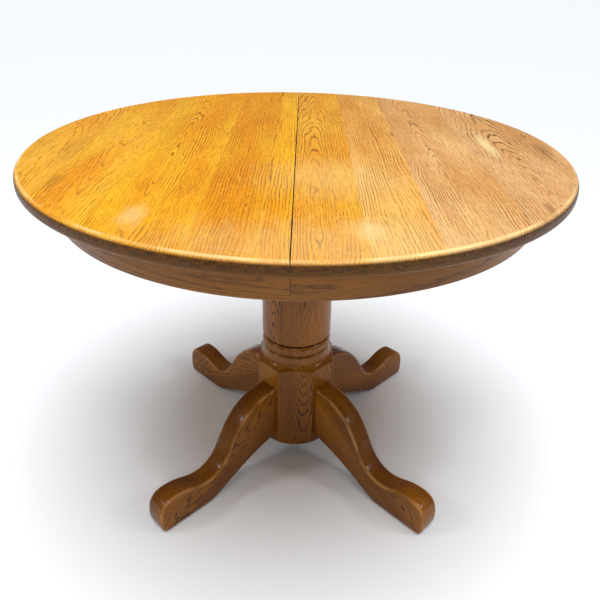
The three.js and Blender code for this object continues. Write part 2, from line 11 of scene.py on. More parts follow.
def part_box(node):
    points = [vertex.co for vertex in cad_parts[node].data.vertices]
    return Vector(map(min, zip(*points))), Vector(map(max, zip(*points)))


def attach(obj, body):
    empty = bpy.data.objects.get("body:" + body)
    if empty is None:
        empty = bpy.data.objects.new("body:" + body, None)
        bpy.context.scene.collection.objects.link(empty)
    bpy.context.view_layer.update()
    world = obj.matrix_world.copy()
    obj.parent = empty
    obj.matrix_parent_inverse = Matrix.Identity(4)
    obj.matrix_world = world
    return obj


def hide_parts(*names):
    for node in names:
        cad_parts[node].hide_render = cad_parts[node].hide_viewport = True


MM = 0.001
SIDES = (("left", -1), ("right", 1))
ENDS = ("front", "rear")
LEGS = (("front_right", -45), ("rear_right", 45), ("rear_left", 135), ("front_left", 225))

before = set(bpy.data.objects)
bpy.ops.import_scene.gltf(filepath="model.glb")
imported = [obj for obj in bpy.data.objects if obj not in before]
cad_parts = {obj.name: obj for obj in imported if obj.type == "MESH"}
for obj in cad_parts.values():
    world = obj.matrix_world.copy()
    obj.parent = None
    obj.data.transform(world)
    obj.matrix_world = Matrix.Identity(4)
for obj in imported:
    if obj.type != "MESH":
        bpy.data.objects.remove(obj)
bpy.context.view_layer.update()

# ------------------------------------------------------------------ sizes, from the frame
top_low, top_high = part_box("right_top_half")
SEAM_X = (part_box("left_top_half")[1].x + top_low.x) / 2
SEAM_HALF = top_low.x - SEAM_X
TOP_RADIUS = top_high.x
TOP_Z, TOP_UNDERSIDE = top_high.z, top_low.z
apron_low, apron_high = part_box("right_apron")
APRON_RADIUS = apron_high.x
APRON_THICK = 19 * MM
column_low, column_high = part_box("pedestal_column")
glide_low, glide_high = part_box("front_right_glide")
GLIDE_RADIUS = (glide_high.x - glide_low.x) / 2
GLIDE_REACH = (glide_high.x + glide_low.x) / math.sqrt(2)

# ------------------------------------------------------------------ kinds of node, and their settings
MATH = "ShaderNodeMath"
VECTOR_MATH = "ShaderNodeVectorMath"
RANGE = "ShaderNodeMapRange"  # its inputs are a value, where it starts and ends, and what it then gives
SPLIT = "ShaderNodeSeparateXYZ"
JOIN = "ShaderNodeCombineXYZ"
STORED = "ShaderNodeAttribute"
COORDINATES = "ShaderNodeTexCoord"
TIMES = {"operation": "MULTIPLY"}
TIMES_PLUS = {"operation": "MULTIPLY_ADD"}
LESS = {"operation": "SUBTRACT"}
LENGTH = {"operation": "LENGTH", "out": "Value"}
SOFT = {"interpolation_type": "SMOOTHSTEP"}


# ------------------------------------------------------------------ small helpers
def linear(colour):
    """The linear RGBA of an sRGB hex colour."""
    parts = [int(colour[i : i + 2], 16) / 255 for i in (1, 3, 5)]
    return tuple(c / 12.92 if c <= 0.04045 else ((c + 0.055) / 1.055) ** 2.4 for c in parts) + (1.0,)


def add(tree, kind, *inputs, out=0, **settings):
    """Adds a node with its settings, and gives one of its outputs, or all of them where out is None.
    The inputs come in order or as one dict, and each is a value, a hex colour or an output."""
    node = tree.nodes.new(kind)
    for name, value in settings.items():
        setattr(node, name, value)
    given = inputs[0] if inputs and isinstance(inputs[0], dict) else dict(enumerate(inputs))
    for socket, value in given.items():
        if isinstance(value, bpy.types.NodeSocket):
            tree.links.new(value, node.inputs[socket])
        else:
            node.inputs[socket].default_value = linear(value) if isinstance(value, str) else value
    return node.outputs if out is None else node.outputs[out]


def shown(name, data):
    """A new object at the origin that holds a mesh, a lamp or a camera."""
    made = bpy.data.objects.new(name, data)
    bpy.context.scene.collection.objects.link(made)
    return made


def smooth(mesh, below):
    """Shades a mesh smooth across edges that turn less than an angle in degrees."""
    mesh.polygons.foreach_set("use_smooth", [True] * len(mesh.polygons))
    mesh.set_sharp_from_angle(angle=math.radians(below))


def mesh_of(name, vertices, faces, smooth_below=40):
    mesh = bpy.data.meshes.new(name)
    mesh.from_pydata([tuple(v) for v in vertices], [], faces)
    mesh.update()
    smooth(mesh, smooth_below)
    return mesh


def outwards(mesh, merge=True):
    """Turns every face outwards, once doubled points are merged."""
    work = bmesh.new()
    work.from_mesh(mesh)
    if merge:
        bmesh.ops.remove_doubles(work, verts=work.verts, dist=1e-6)
    bmesh.ops.recalc_face_normals(work, faces=work.faces)
    work.to_mesh(mesh)
    work.free()
    return mesh


def points_of(mesh):
    points = np.empty(len(mesh.vertices) * 3)
    mesh.vertices.foreach_get("co", points)
    return points.reshape(-1, 3)


def store_plank(mesh, plank):
    """Stores where each point lay in its plank: across from the pith, along, and up from it."""
    layer = mesh.attributes.new("plank", "FLOAT_VECTOR", "POINT")
    layer.data.foreach_set("vector", np.asarray(plank, dtype=np.float32).reshape(-1))


# ------------------------------------------------------------------ patterns
def mottle(tree, place, rate, detail=2.0, roughness=0.5, shift=0.0):
    """A soft random pattern, which varies so many times a metre along each axis of a place."""
    scaled = add(tree, VECTOR_MATH, place, rate, (shift,) * 3, **TIMES_PLUS)
    texture = {"Vector": scaled, "Scale": 1.0, "Detail": detail, "Roughness": roughness}
    return add(tree, "ShaderNodeTexNoise", texture)


def laid(tree, base, colour, pattern, share=1.0):
    """A colour laid over a base by a share of a pattern."""
    cover = add(tree, MATH, pattern, share, **TIMES)
    return add(tree, "ShaderNodeMix", {0: cover, 6: base, 7: colour}, out=2, data_type="RGBA")


def wood_figure(tree, plank, ring_mm, wander_mm, ripple_mm=2.0):
    """The growth rings, pores, fibres and clouds of wood, each from 0 to 1. The rings run round the
    pith, which lies along Y. The pores are 1.6 mm apart, coarser than real ones, so that they show."""
    parts = add(tree, SPLIT, plank, out=None)
    radius = add(tree, VECTOR_MATH, add(tree, JOIN, parts["X"], parts["Z"]), **LENGTH)
    for rate, shift, reach_mm in (
        ((5, 1.3, 5), 0.0, 2 * wander_mm),
        ((17, 6.5, 17), 4.0, wander_mm),
        ((70, 34, 70), 7.0, ripple_mm),
    ):
        swing = add(tree, MATH, mottle(tree, plank, rate, shift=shift), 0.5, **LESS)
        radius = add(tree, MATH, swing, 2 * reach_mm * MM, radius, **TIMES_PLUS)
    count = add(tree, MATH, radius, ring_mm * MM, operation="DIVIDE")
    uneven = add(tree, MATH, mottle(tree, plank, (34, 0.7, 34), shift=3.0), 3.4, count, **TIMES_PLUS)
    phase = add(tree, MATH, uneven, operation="FRACT")
    opening = add(tree, RANGE, phase, 0.0, 0.1, **SOFT)
    closing = add(tree, RANGE, phase, 0.16, 0.42, 1.0, 0.0, **SOFT)
    early = add(tree, MATH, opening, closing, **TIMES)
    pores = add(tree, RANGE, mottle(tree, plank, (620, 48, 620), 1.0, shift=11.0), 0.46, 0.62, **SOFT)
    fibres = mottle(tree, plank, (330, 7, 330), 3.0, 0.6, 5.0)
    clouds = mottle(tree, plank, (11, 2.2, 11), shift=2.0)
    return early, pores, fibres, clouds


def pore_dashes(tree, early, pores, in_rings, between):
    """The pores, deep in the open wood of each ring and faint between the rings."""
    depth = add(tree, MATH, early, in_rings, between, **TIMES_PLUS)
    return add(tree, MATH, pores, depth, **TIMES)


def open_grain(tree, early, pores):
    """The height of a surface whose rings and pores stand open."""
    return add(tree, MATH, add(tree, MATH, early, pores), -0.5, **TIMES)


def spot(tree, place, x_mm, y_mm, size_mm):
    """An oval spot on the top, 1 in its middle and 0 outside, with a ragged edge."""
    middle = (-x_mm * MM, -y_mm * MM, -TOP_Z)
    offset = add(tree, VECTOR_MATH, place, middle, operation="ADD")
    scaled = add(tree, VECTOR_MATH, offset, [1 / (s * MM) for s in size_mm], **TIMES)
    length = add(tree, VECTOR_MATH, scaled, **LENGTH)
    reach = add(tree, MATH, mottle(tree, place, (45, 18, 45), 3.0), 0.7, length, **TIMES_PLUS)
    return add(tree, RANGE, reach, 0.45, 1.35, 1.0, 0.0, **SOFT)


# ------------------------------------------------------------------ materials
def new_material(name):
    material = bpy.data.materials.new(name)
    material.use_nodes = True
    material.node_tree.nodes.clear()
    return material


def surface(material, base, roughness, relief, depth_mm, more):
    """Ends a material in a shader. The relief stands up by a depth, and more sets other sockets."""
    tree = material.node_tree
    bump = add(tree, "ShaderNodeBump", {"Height": relief, "Strength": 1.0, "Distance": depth_mm * MM})
    sockets = {"Base Color": base, "Roughness": roughness, "Normal": bump, **more}
    shader = add(tree, "ShaderNodeBsdfPrincipled", sockets)
    add(tree, "ShaderNodeOutputMaterial", {"Surface": shader}, out=None)
    return material


# Spots where the varnish has worn thin, and one sapwood streak in the right half. Each: its
# middle, its half sizes and its strength.
WORN_SPOTS = (
    (-238, -392, (30, 60, 30), 0.45),
    (103, -431, (38, 46, 30), 0.5),
    (60, -200, (180, 150, 60), 0.22),
    (388, 30, (20, 120, 30), 0.9),
    (60, -480, (420, 130, 60), 0.25),
)
# Dark heartwood near both rims.
DARK_SPOTS = (
    (-440, -60, (34, 130, 30), 0.18),
    (-405, -250, (20, 60, 30), 0.3),
    (497, -20, (22, 90, 30), 0.45),
    (395, -330, (10, 40, 30), 0.5),
)


def golden_oak():
    """Red oak boards under old satin varnish: a warm yellow glow, open grain, pale spots where the varnish
    wore thin, a painted sheen on the right-hand boards, and painted shade and a painted highlight on the rim.
    """
    material = new_material("golden_oak_satin_varnish")
    tree = material.node_tree
    plank = add(tree, STORED, out="Vector", attribute_name="plank")
    board = add(tree, STORED, out="Vector", attribute_name="board")
    tan_and_sheen, deep, coarse = add(tree, SPLIT, board, out=None)
    place = add(tree, COORDINATES, out="Object")
    early, pores, fibres, clouds = wood_figure(tree, plank, 4.6, 6.0, 1.3)

    # Tan pales and greys every colour below, partly as the board's own tone and partly as a painted sheen.
    pale = laid(tree, "#ffc024", "#f6c88e", tan_and_sheen)
    rich = laid(tree, "#ee9a0e", "#dba062", tan_and_sheen)
    base = laid(tree, pale, rich, add(tree, RANGE, clouds, 0.3, 0.72, **SOFT))
    base = laid(tree, base, "#d07f14", deep, 0.6)
    streaks = laid(tree, "#b86a08", "#b07c46", tan_and_sheen)
    base = laid(tree, base, streaks, add(tree, RANGE, fibres, 0.42, 0.68, **SOFT), 0.42)
    uneven = mottle(tree, plank, (16, 5, 16), shift=9.0)
    patchy = add(tree, RANGE, uneven, 0.4, 0.66, 0.2, 1.2, **SOFT)
    strength = add(tree, MATH, add(tree, MATH, coarse, 0.46, 0.54, **TIMES_PLUS), patchy, **TIMES)
    base = laid(tree, base, laid(tree, "#96500a", "#7c4f22", tan_and_sheen), early, strength)
    dashes = pore_dashes(tree, early, pores, 0.45, 0.1)
    base = laid(tree, base, "#6b3a10", dashes)
    flecks = add(tree, RANGE, mottle(tree, plank, (300, 60, 300), shift=13.0), 0.56, 0.74, **SOFT)
    base = laid(tree, base, laid(tree, "#ffd24e", "#f6d9a4", tan_and_sheen), flecks, 0.4)

    # Fine pale scratches, most of them across the grain.
    turned = add(tree, "ShaderNodeMapping", {"Vector": place, "Rotation": (0, 0, 0.22)})
    lines = add(tree, RANGE, mottle(tree, turned, (7, 330, 1), shift=17.0), 0.68, 0.78, **SOFT)
    where = add(tree, RANGE, mottle(tree, place, (8, 8, 1), shift=19.0), 0.42, 0.66, **SOFT)
    base = laid(tree, base, "#ffe9ae", add(tree, MATH, lines, where, **TIMES), 0.55)
    for spots, colour in ((WORN_SPOTS, "#f3d79a"), (DARK_SPOTS, "#7d4d22")):
        for x_mm, y_mm, size_mm, share in spots:
            base = laid(tree, base, colour, spot(tree, place, x_mm, y_mm, size_mm), share)

    # The rim is darker than the face: partly more stain, partly painted shade below the upper
    # rounding. Its upper arris is pale here and there: partly rubbing, partly a painted highlight.
    x, _, z = add(tree, SPLIT, place, out=None)
    depth_mm = add(tree, MATH, z, -1 / MM, TOP_Z / MM, **TIMES_PLUS)
    flat = add(tree, VECTOR_MATH, place, (1, 1, 0), **TIMES)
    radius = add(tree, VECTOR_MATH, flat, **LENGTH)
    at_rim = add(tree, RANGE, radius, TOP_RADIUS - 14 * MM, TOP_RADIUS - 9 * MM, **SOFT)
    ends = add(tree, RANGE, mottle(tree, place, (130, 130, 300), shift=21.0), 0.35, 0.65, **SOFT)
    # Stain and painted shade for the rim's side, dark from some 2 to 6.5 mm below the top face downwards.
    rim_stain_and_shade = laid(tree, "#553008", "#2a1403", ends)
    rim_stain_and_shade = laid(tree, "#5e370a", rim_stain_and_shade, add(tree, RANGE, depth_mm, 12, 24, 1.0, 0.0, **SOFT))
    lower = add(tree, RANGE, depth_mm, 2.0, 6.5, -0.05, 0.95, **SOFT)
    base = laid(tree, base, rim_stain_and_shade, at_rim, lower)
    # A pale band along the upper arris, broken into patches: partly rubbing, partly a painted highlight.
    from_below = add(tree, RANGE, depth_mm, 1.8, 3.0, 1.0, 0.0, **SOFT)
    from_above = add(tree, RANGE, depth_mm, 0.1, 0.6, **SOFT)
    arris = add(tree, MATH, add(tree, MATH, from_below, from_above, **TIMES), at_rim, **TIMES)
    arris_patchiness = add(tree, RANGE, mottle(tree, place, (9, 9, 9), 3.0, shift=6.0), 0.3, 0.7, 0.0, 0.85, **SOFT)
    base = laid(tree, base, "#ffe3a0", arris, arris_patchiness)

    # The underside has no varnish, and dirt lies along the top of the joint between the halves.
    bare = laid(tree, "#b58a50", "#8f6936", clouds)
    base = laid(tree, base, bare, add(tree, RANGE, depth_mm, 25.0, 25.9, 0.0, 0.72, **SOFT))
    from_seam = add(tree, MATH, add(tree, MATH, x, SEAM_X, **LESS), operation="ABSOLUTE")
    dirt = add(tree, RANGE, from_seam, 0.5 * MM, 1.3 * MM, 1.0, 0.0, **SOFT)
    base = laid(tree, base, "#3c210c", dirt, add(tree, RANGE, depth_mm, 1.0, 5.0, 1.25, 0.25, **SOFT))

    roughness = add(tree, MATH, clouds, 0.16, 0.3, **TIMES_PLUS)
    roughness = add(tree, MATH, dashes, 0.3, roughness, **TIMES_PLUS)
    varnish = {"IOR": 1.5, "Specular IOR Level": 0.18}
    return surface(material, base, roughness, open_grain(tree, early, pores), 0.12, varnish)


def brown_oak(name, light, dark, line, ring_mm, contrast, darkened_grooves=()):
    """Oak with a brown stain under gloss lacquer: dark open grain below a clear shine. Each
    darkened groove, given by its height and half its width, is painted near black: partly stain
    lying thick, partly painted shade."""
    material = new_material(name)
    tree = material.node_tree
    plank = add(tree, STORED, out="Vector", attribute_name="plank")
    edge_lightening = add(tree, STORED, out="Fac", attribute_name="edge_wear_and_glint")
    place = add(tree, COORDINATES, out="Object")
    early, pores, fibres, clouds = wood_figure(tree, plank, ring_mm, 3.0)
    base = laid(tree, light, dark, add(tree, RANGE, clouds, 0.28, 0.72, **SOFT))
    base = laid(tree, base, dark, add(tree, RANGE, fibres, 0.4, 0.8, **SOFT), 0.45)
    uneven = mottle(tree, plank, (20, 4, 20), shift=9.0)
    base = laid(tree, base, line, early, add(tree, RANGE, uneven, 0.2, 0.6, 0.0, contrast, **SOFT))
    base = laid(tree, base, line, pore_dashes(tree, early, pores, 0.5, 0.22))
    # Pale edges where a mesh stores them, broken into patches: partly rubbing, partly a painted highlight.
    scuffs = mottle(tree, place, (22, 22, 22), 3.0, shift=8.0)
    base = laid(tree, base, "#dca262", edge_lightening, add(tree, RANGE, scuffs, 0.3, 0.62, **SOFT))
    height = add(tree, SPLIT, place, out="Z")
    # Near-black bands in the turned grooves: partly stain lying thick, partly painted shade.
    for groove, half in darkened_grooves:
        away = add(tree, MATH, add(tree, MATH, height, groove * MM, **LESS), operation="ABSOLUTE")
        groove_stain_and_shade = add(tree, RANGE, away, 0.5 * half * MM, 1.6 * half * MM, 1.0, 0.0, **SOFT)
        base = laid(tree, base, "#1c0e04", groove_stain_and_shade)
    roughness = add(tree, MATH, fibres, 0.18, 0.3, **TIMES_PLUS)
    lacquer = {"IOR": 1.5, "Specular IOR Level": 0.06, "Coat Weight": 0.4, "Coat Roughness": 0.16}
    return surface(material, base, roughness, open_grain(tree, early, pores), 0.1, lacquer)


def bare_beech(name, along):
    """Planed beech, never varnished: a dry, even, pale brown with short flecks along the grain."""
    material = new_material(name)
    tree = material.node_tree
    place = add(tree, COORDINATES, out="Object")
    turn = {"X": (0, 0, math.pi / 2), "Y": (0, 0, 0), "Z": (math.pi / 2, 0, 0)}[along]
    plank = add(tree, "ShaderNodeMapping", {"Vector": place, "Rotation": turn})
    early, pores, fibres, clouds = wood_figure(tree, plank, 3.5, 4.0)
    base = laid(tree, "#c79d68", "#ad7f4b", clouds)
    base = laid(tree, base, "#8d6034", early, 0.3)
    base = laid(tree, base, "#7a5029", pores, 0.3)
    roughness = add(tree, MATH, fibres, 0.2, 0.55, **TIMES_PLUS)
    return surface(material, base, roughness, fibres, 0.08, {"IOR": 1.5})


def zinc_steel():
    """Zinc-plated steel, tumbled: bright grey with cloudy patches and fine scuffs."""
    material = new_material("zinc_plated_steel")
    tree = material.node_tree
    place = add(tree, COORDINATES, out="Object")
    clouds = mottle(tree, place, (160, 160, 160), 3.0)
    scuffs = mottle(tree, place, (1500, 1500, 300))
    base = laid(tree, "#b9bab6", "#8f918f", clouds)
    roughness = add(tree, MATH, clouds, 0.2, 0.28, **TIMES_PLUS)
    return surface(material, base, roughness, scuffs, 0.02, {"Metallic": 1.0})


def moulded_nylon():
    """Natural nylon from a mould: waxy off-white with a faint dull bloom."""
    material = new_material("natural_nylon")
    tree = material.node_tree
    bloom = mottle(tree, add(tree, COORDINATES, out="Object"), (90, 90, 90), 3.0)
    base = laid(tree, "#ddd6c2", "#cbc2ab", bloom)
    roughness = add(tree, MATH, bloom, 0.15, 0.4, **TIMES_PLUS)
    return surface(material, base, roughness, bloom, 0.05, {"IOR": 1.53})


def pressed_felt():
    """Dark pressed felt: matt and hairy, with no shine at all."""
    material = new_material("pressed_felt")
    tree = material.node_tree
    hairs = mottle(tree, add(tree, COORDINATES, out="Object"), (900, 900, 900), 4.0, 0.7)
    base = laid(tree, "#1d1713", "#3a3028", hairs)
    return surface(material, base, 0.95, hairs, 0.4, {"IOR": 1.45})


COLUMN_GROOVE_DARKENING = ((318, 2.2), (290.5, 2.0))
GOLDEN_OAK = golden_oak()
APRON_OAK = brown_oak("apron_oak_gloss_lacquer", "#986011", "#74450a", "#462808", 7.0, 0.45)
COLUMN_OAK = brown_oak(
    "column_oak_gloss_lacquer", "#aa6a18", "#73410a", "#2f1503", 3.9, 0.92, COLUMN_GROOVE_DARKENING
)
LEG_OAK = brown_oak("leg_oak_gloss_lacquer", "#a06215", "#693a09", "#2e1503", 3.2, 0.64)
RAIL_BEECH = bare_beech("rail_beech", "X")
YOKE_BEECH = bare_beech("yoke_beech", "Y")
BLOCK_BEECH = bare_beech("block_beech", "Z")
ZINC_STEEL = zinc_steel()
NYLON = moulded_nylon()
FELT = pressed_felt()


# ------------------------------------------------------------------ outlines
def quarter(r, z, radius, start, end, steps=8):
    """Points on a round about [r, z], between two angles in degrees."""
    angles = [math.radians(start + (end - start) * i / steps) for i in range(steps + 1)]
    return [(r + radius * math.cos(a), z + radius * math.sin(a)) for a in angles]


def curve(controls, steps):
    """Points on a Bezier curve, without its last."""
    t = np.linspace(0, 1, steps + 1)[:-1, None]
    weights = np.hstack([(1 - t) ** 3, 3 * t * (1 - t) ** 2, 3 * t**2 * (1 - t), t**3])
    return weights @ np.array(controls, float)


def eased(profile, rounds):
    """A line of points with its corners cut, so that it turns smoothly."""
    profile = np.array(profile, float)
    for _ in range(rounds):
        start, end = profile[:-1], profile[1:]
        inner = np.stack([0.75 * start + 0.25 * end, 0.25 * start + 0.75 * end], 1).reshape(-1, 2)
        profile = np.vstack([profile[:1], inner, profile[-1:]])
    return profile


def grid_faces(rows, columns, close_rows=False, close_columns=False):
    """Quads over a grid of points that is numbered row by row."""
    faces = []
    for i in range(rows if close_rows else rows - 1):
        for j in range(columns if close_columns else columns - 1):
            a, b = i * columns, ((i + 1) % rows) * columns
            k = (j + 1) % columns
            faces.append((a + j, a + k, b + k, b + j))
    return faces


# ------------------------------------------------------------------ top
# Each board: its right edge, the pith's place across, how deep the pith lies, how fast the
# grain rises, and how tan, deep and coarse the board is. Tan is a paler, greyer tone, partly
# the board's own and partly a painted sheen, so it grows towards the right-hand boards.
BOARDS = (
    (-415, -470, 30, 0.050, 0.10, 0.15, 0.55),
    (-304, -350, 16, -0.045, 0.05, 0.05, 0.35),
    (-147, -238, 10, 0.055, 0.00, 0.00, 0.35),
    (-47, -20, 60, 0.020, 0.00, 0.55, 0.10),
    (-7, -140, 70, 0.010, 0.00, 0.05, 0.45),
    (98, 30, 22, 0.060, 0.12, 0.25, 0.35),
    (201, 230, 40, -0.030, 0.45, 0.10, 0.45),
    (345, 262, 12, 0.045, 0.85, 0.05, 0.40),
    (534, 420, 34, 0.075, 1.00, 0.10, 0.75),
)
BOARD_SHIFT = 1.7  # metres along the grain between one board's figure and the next one's
RIM_STEPS = 288
UPPER_ROUND, LOWER_ROUND = 11 * MM, 8 * MM
NARROWEST_BOARD = 5 * MM
PIN_PLAY, PIN_END_PLAY = 0.3 * MM, 1 * MM


def disc_of_top():
    """The whole top as one disc with rounded edges."""
    work = bmesh.new()
    over = quarter(TOP_RADIUS - UPPER_ROUND, TOP_Z - UPPER_ROUND, UPPER_ROUND, 0, 90, 9)
    under = quarter(TOP_RADIUS - LOWER_ROUND, TOP_UNDERSIDE + LOWER_ROUND, LOWER_ROUND, -90, 0, 7)
    angles = [2 * math.pi * i / RIM_STEPS for i in range(RIM_STEPS)]
    rings = []
    for r, z in under + over:
        rings.append([work.verts.new((r * math.cos(a), r * math.sin(a), z)) for a in angles])
    for low, high in zip(rings, rings[1:]):
        for i in range(RIM_STEPS):
            k = (i + 1) % RIM_STEPS
            work.faces.new((low[i], low[k], high[k], high[i]))
    work.faces.new(rings[-1])
    work.faces.new(list(reversed(rings[0])))
    return work


def split(work, x, **clear):
    """Cuts a body along a plane across X, and clears away one side where asked."""
    everything = work.verts[:] + work.edges[:] + work.faces[:]
    plane = {"plane_co": (x, 0, 0), "plane_no": (1, 0, 0), "dist": 1e-7}
    bmesh.ops.bisect_plane(work, geom=everything, **plane, **clear)


def top_half(name, side):
    """One half of the top, cut into its boards, with each board's own grain stored in it."""
    work = disc_of_top()
    split(work, SEAM_X + side * SEAM_HALF, **{"clear_outer" if side < 0 else "clear_inner": True})
    bmesh.ops.holes_fill(work, edges=[e for e in work.edges if e.is_boundary], sides=0)
    for right_edge, *_ in BOARDS:
        if side * (right_edge * MM - SEAM_X) > NARROWEST_BOARD:
            split(work, right_edge * MM)
    mesh = bpy.data.meshes.new(name)
    work.to_mesh(mesh)
    work.free()
    smooth(outwards(mesh), 40)
    piece = shown(name, mesh)
    bore_pin_holes(piece)

    mesh = piece.data
    plank = mesh.attributes.new("plank", "FLOAT_VECTOR", "CORNER")
    board = mesh.attributes.new("board", "FLOAT_VECTOR", "CORNER")
    for face in mesh.polygons:
        index = sum(face.center.x >= b[0] * MM for b in BOARDS[:-1])
        _, pith, depth, rise, *tints = BOARDS[index]
        for loop in face.loop_indices:
            x, y, z = mesh.vertices[mesh.loops[loop].vertex_index].co
            up = z - TOP_Z + depth * MM + rise * y
            plank.data[loop].vector = (x - pith * MM, y + BOARD_SHIFT * index, up)
            board.data[loop].vector = tints
    mesh.materials.append(GOLDEN_OAK)
    return piece


def evaluated_mesh(piece):
    """The plain mesh that an object and its modifiers make."""
    return bpy.data.meshes.new_from_object(piece.evaluated_get(bpy.context.evaluated_depsgraph_get()))


def joined(parts):
    with bpy.context.temp_override(active_object=parts[0], selected_editable_objects=parts):
        bpy.ops.object.join()
    return parts[0]


def bore_pin_holes(piece):
    """Bores the blind holes that take the alignment pins, a little wider and deeper than them."""
    bits = []
    for place in ("front", "middle", "rear"):
        low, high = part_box(f"{place}_alignment_pin")
        bpy.ops.mesh.primitive_cylinder_add(
            radius=(high.z - low.z) / 2 + PIN_PLAY,
            depth=high.x - low.x + 2 * PIN_END_PLAY,
            vertices=32,
            location=(low + high) / 2,
            rotation=(0, math.pi / 2, 0),
        )
        bits.append(bpy.context.object)
    cut = piece.modifiers.new("pin holes", "BOOLEAN")
    cut.object, cut.operation, cut.solver = joined(bits), "DIFFERENCE", "EXACT"
    made = evaluated_mesh(piece)
    piece.modifiers.clear()
    piece.data = made
    bpy.data.objects.remove(bits[0])


for name, side in SIDES:
    half = top_half(f"{name}_top", side)
    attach(half, f"{name}_half")
    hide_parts(f"{name}_top_half")


# ------------------------------------------------------------------ aprons
def new_tree(name, **inputs):
    """A geometry tree, and its named inputs."""
    tree = bpy.data.node_groups.new(name, "GeometryNodeTree")
    tree.interface.new_socket(name="Geometry", in_out="OUTPUT", socket_type="NodeSocketGeometry")
    for label, kind in inputs.items():
        label = label.replace("_", " ")
        tree.interface.new_socket(name=label, in_out="INPUT", socket_type=f"NodeSocket{kind}")
    return tree, add(tree, "NodeGroupInput", out=None)


def end_tree(tree, geometry, material):
    realized = add(tree, "GeometryNodeRealizeInstances", {"Geometry": geometry})
    coated = add(tree, "GeometryNodeSetMaterial", {"Geometry": realized, "Material": material})
    add(tree, "NodeGroupOutput", {"Geometry": coated}, out=None)
    return tree


def grown(name, tree, **values):
    """An object with the plain mesh that a geometry tree makes from these inputs."""
    piece = shown(name, bpy.data.meshes.new(name))
    modifier = piece.modifiers.new(tree.name, "NODES")
    modifier.node_group = tree
    sockets = {s.name: s.identifier for s in tree.interface.items_tree if s.in_out == "INPUT"}
    for label, value in values.items():
        modifier[sockets[label.replace("_", " ")]] = value
    made = evaluated_mesh(piece)
    piece.modifiers.clear()
    piece.data = made
    return piece


ARC_POINTS = 145


def bent_apron_tree():
    """A bent board: a rounded section carried round an arc."""
    sizes = {"Radius": "Float", "Start": "Float", "Sweep": "Float", "Height": "Float"}
    tree, given = new_tree("bent apron", Thickness="Float", Arris="Float", **sizes)
    bend = {"Radius": given["Radius"], "Start Angle": given["Start"], "Sweep Angle": given["Sweep"]}
    arc = add(tree, "GeometryNodeCurveArc", {"Resolution": ARC_POINTS, **bend})
    board = {"Width": given["Thickness"], "Height": given["Height"]}
    section = add(tree, "GeometryNodeCurvePrimitiveQuadrilateral", board)
    rounding = {"Curve": section, "Radius": given["Arris"], "Count": 4}
    rounded = add(tree, "GeometryNodeFilletCurve", rounding, mode="POLY")
    sweep = {"Curve": arc, "Profile Curve": rounded, "Fill Caps": True}
    return end_tree(tree, add(tree, "GeometryNodeCurveToMesh", sweep), APRON_OAK)


BENT_APRON = bent_apron_tree()
APRON_MIDDLE = APRON_RADIUS - APRON_THICK / 2
APRON_PITH = {"left": 0.70, "right": 0.68}  # its height
APRON_PITH_DEPTH, APRON_RISE, APRON_SHIFT = 0.03, 0.02, 3
for name, side in SIDES:
    reach = math.acos((SEAM_X + side * SEAM_HALF) / APRON_MIDDLE)
    apron = grown(
        f"{name}_bent_apron",
        BENT_APRON,
        Radius=APRON_MIDDLE,
        Start=reach if side < 0 else -reach,
        Sweep=2 * (math.pi - reach) if side < 0 else 2 * reach,
        Height=apron_high.z - apron_low.z,
        Thickness=APRON_THICK,
        Arris=1.6 * MM,
    )
    apron.data.transform(Matrix.Translation((0, 0, (apron_low.z + apron_high.z) / 2)))
    smooth(outwards(apron.data), 30)

    # The board was bent, so its grain follows the arc.
    x, y, z = points_of(apron.data).T
    along = np.arctan2(y * side, x * side) * APRON_RADIUS + APRON_SHIFT * side
    up = np.hypot(x, y) - APRON_RADIUS + APRON_PITH_DEPTH + APRON_RISE * along
    store_plank(apron.data, np.stack([z - APRON_PITH[name], along, up], 1))
    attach(apron, f"{name}_half")
    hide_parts(f"{name}_apron")

# ------------------------------------------------------------------ column
COLUMN_RADIUS = 79 * MM
OPEN_FLAT, LEG_FLAT = 80 * MM, 65 * MM
OPEN_APOTHEM = OPEN_FLAT / 2 + LEG_FLAT / math.sqrt(2)
LEG_APOTHEM = LEG_FLAT / 2 + OPEN_FLAT / math.sqrt(2)
BORE = 40 * MM
TURNS = 320
EIGHTH = math.pi / 4

# The column is glued from eight staves. Each: the pith's place across, how deep it lies below
# the face, and how fast the grain rises.
STAVES = (
    (-30, 30, 0.010),
    (22, 14, -0.045),
    (-60, 40, 0.020),
    (-16, 10, 0.050),
    (45, 34, -0.015),
    (8, 12, 0.10),
    (17, 6, 0.13),
    (52, 26, -0.030),
)
STAVE_SHIFT = 1.3  # metres along the grain between one stave's figure and the next one's
STAVE_MIDDLE = 0.42  # the height from which the rise is counted

# The turned part from below, as radius and height in mm.
BLANK_RADIUS = 96.8
SHOULDER = ((97, 249), (96.8, 252), (94.5, 256), (88, 259.5), (84.5, 262))
HOLLOW = ((80, 266), (77, 272), (75.5, 280), (75, 286))
LOWER_GROOVE = ((72.6, 288), (71.8, 290.5), (73.5, 292.8))
BEAD = ((78, 294.5), (79, 299), (79, 306), (78, 310.5), (76.5, 313), (75, 315))
UPPER_GROOVE = ((72.4, 316.2), (71.8, 318), (72.6, 320), (77.6, 321.5))
SHAFT_FOOT = ((79, 324), (79, 330))
FOOT_ROUND = 22
FLAT_SOFTNESS, SHOULDER_SOFTNESS = 0.5 * MM, 0.35 * MM


def softest(values, softness):
    """The least of several values, with a soft change from one to another."""
    values = np.array(values)
    least = values.min(0)
    return least - softness * np.log(np.exp(-(values - least) / softness).sum(0))


